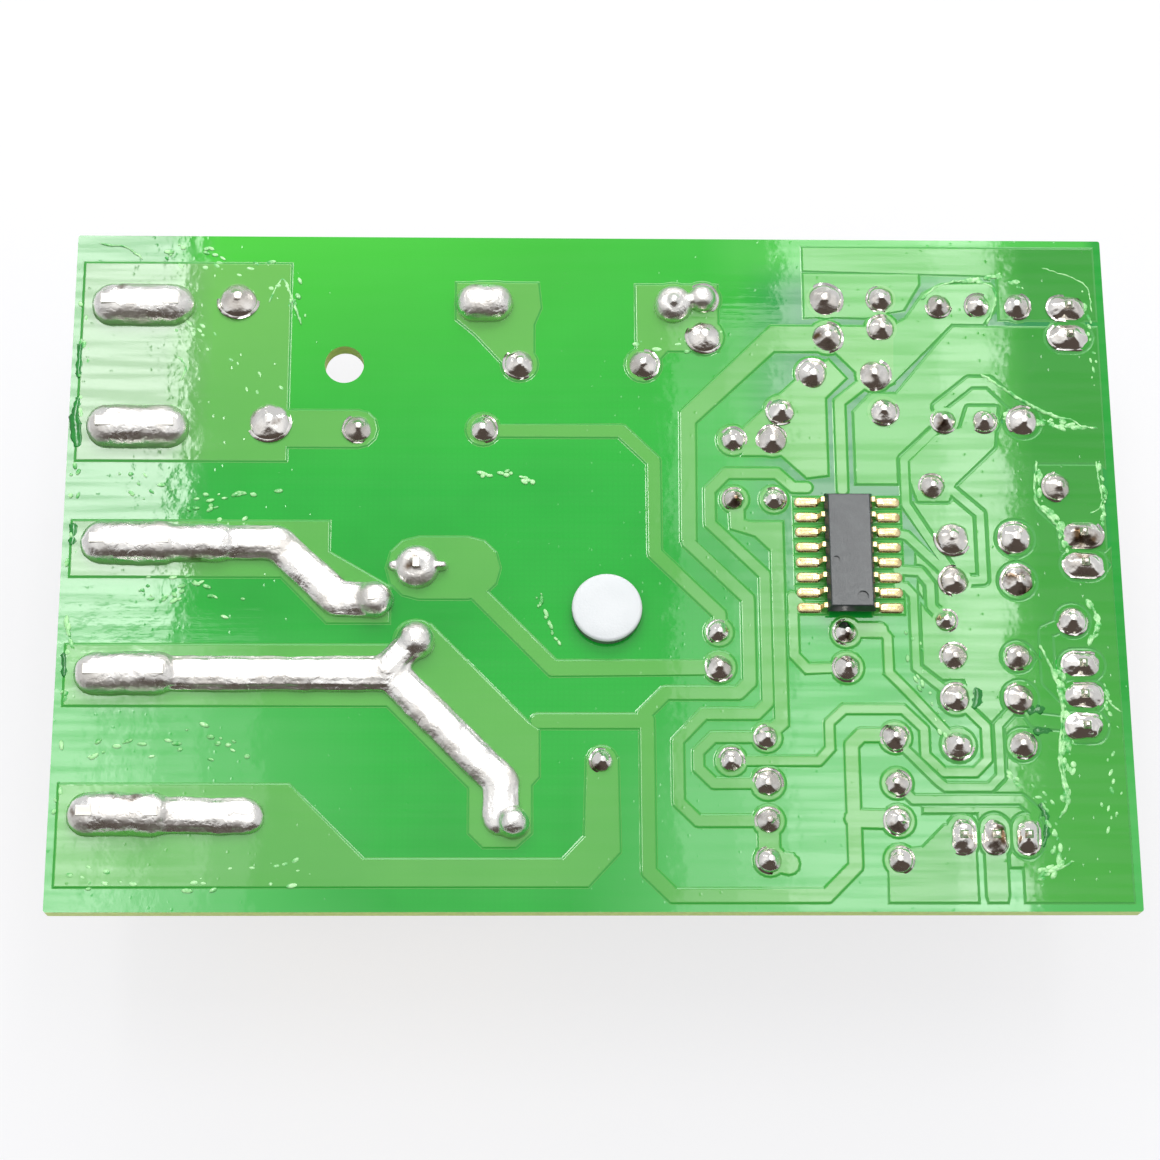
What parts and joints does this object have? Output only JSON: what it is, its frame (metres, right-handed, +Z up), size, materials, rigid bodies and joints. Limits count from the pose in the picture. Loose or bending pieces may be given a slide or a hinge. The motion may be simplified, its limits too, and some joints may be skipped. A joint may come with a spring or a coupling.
{
  "type": "vacuum cleaner control board",
  "caption": "Single-sided control board of a vacuum cleaner: chip and glossy soldered joints on its green side, mains parts and a cooled triac on the other.",
  "frame": {"origin": "under the centre of the board, on the surface that its tallest parts lie on", "axes": "+Z up out of the solder side; +X along the board, away from the blade terminals; +Y across it"},
  "size_m": [0.085, 0.0564, 0.0233],
  "materials": {
    "board_mask": "clear green solder mask over the laminate, glossy",
    "copper_mask": "green solder mask over copper, glossy and paler",
    "solder": "bright wave solder with brownish flux at its rim",
    "tinned_lead": "tinned copper lead",
    "chip_plastic": "fine matt moulded epoxy",
    "white_nylon": "white moulded nylon",
    "terminal_metal": "tin-plated brass strip",
    "sink_aluminium": "plain extruded aluminium",
    "black_plastic": "black moulded epoxy",
    "tab_metal": "plated copper tab",
    "fastener_steel": "zinc-plated steel",
    "varistor_lacquer": "blue dipped epoxy",
    "yellow_box": "yellow moulded box",
    "can_sleeve": "dark shrunk sleeve over an aluminium can",
    "resistor_lacquer": "beige lacquer with colour bands",
    "red_box": "red moulded box",
    "pin_metal": "tinned square pin",
    "header_plastic": "natural white nylon"
  },
  "bodies": {
    "root": {"laminate": "board_mask", "copper_power": "copper_mask", "copper_middle": "copper_mask", "copper_right": "copper_mask", "power_solder": "solder", "solder_left": "solder", "solder_middle": "solder", "solder_right": "solder", "chip_solder": "solder", "chip_body": "chip_plastic", "chip_leads": "tinned_lead", "support_post": "white_nylon", "blade_terminal_1": "terminal_metal", "blade_terminal_2": "terminal_metal", "blade_terminal_3": "terminal_metal", "blade_terminal_4": "terminal_metal", "blade_terminal_5": "terminal_metal", "heat_sink": "sink_aluminium", "triac_case": "black_plastic", "triac_tab": "tab_metal", "triac_leads": "tinned_lead", "clamp_screw": "fastener_steel", "clamp_nut": "fastener_steel", "varistor": "varistor_lacquer", "mains_capacitor": "yellow_box", "film_capacitor": "yellow_box", "smoothing_can": "can_sleeve", "smoothing_leads": "tinned_lead", "resistor_1": "resistor_lacquer", "resistor_2": "resistor_lacquer", "resistor_3": "resistor_lacquer", "resistor_4": "resistor_lacquer", "resistor_5": "resistor_lacquer", "resistor_6": "resistor_lacquer", "resistor_7": "resistor_lacquer", "resistor_8": "resistor_lacquer", "resistor_9": "resistor_lacquer", "resistor_10": "resistor_lacquer", "resistor_11": "resistor_lacquer", "resistor_12": "resistor_lacquer", "resistor_13": "resistor_lacquer", "resistor_14": "resistor_lacquer", "resistor_15": "resistor_lacquer", "resistor_16": "resistor_lacquer", "diode": "black_plastic", "box_capacitor_1": "red_box", "box_capacitor_2": "red_box", "box_capacitor_3": "red_box", "box_capacitor_4": "red_box", "box_capacitor_5": "red_box", "box_capacitor_6": "red_box", "box_capacitor_7": "red_box", "box_capacitor_8": "red_box", "header_1": "header_plastic", "header_2": "header_plastic", "header_3": "header_plastic", "header_4": "header_plastic", "header_pins": "pin_metal"}
  },
  "joints": []
}
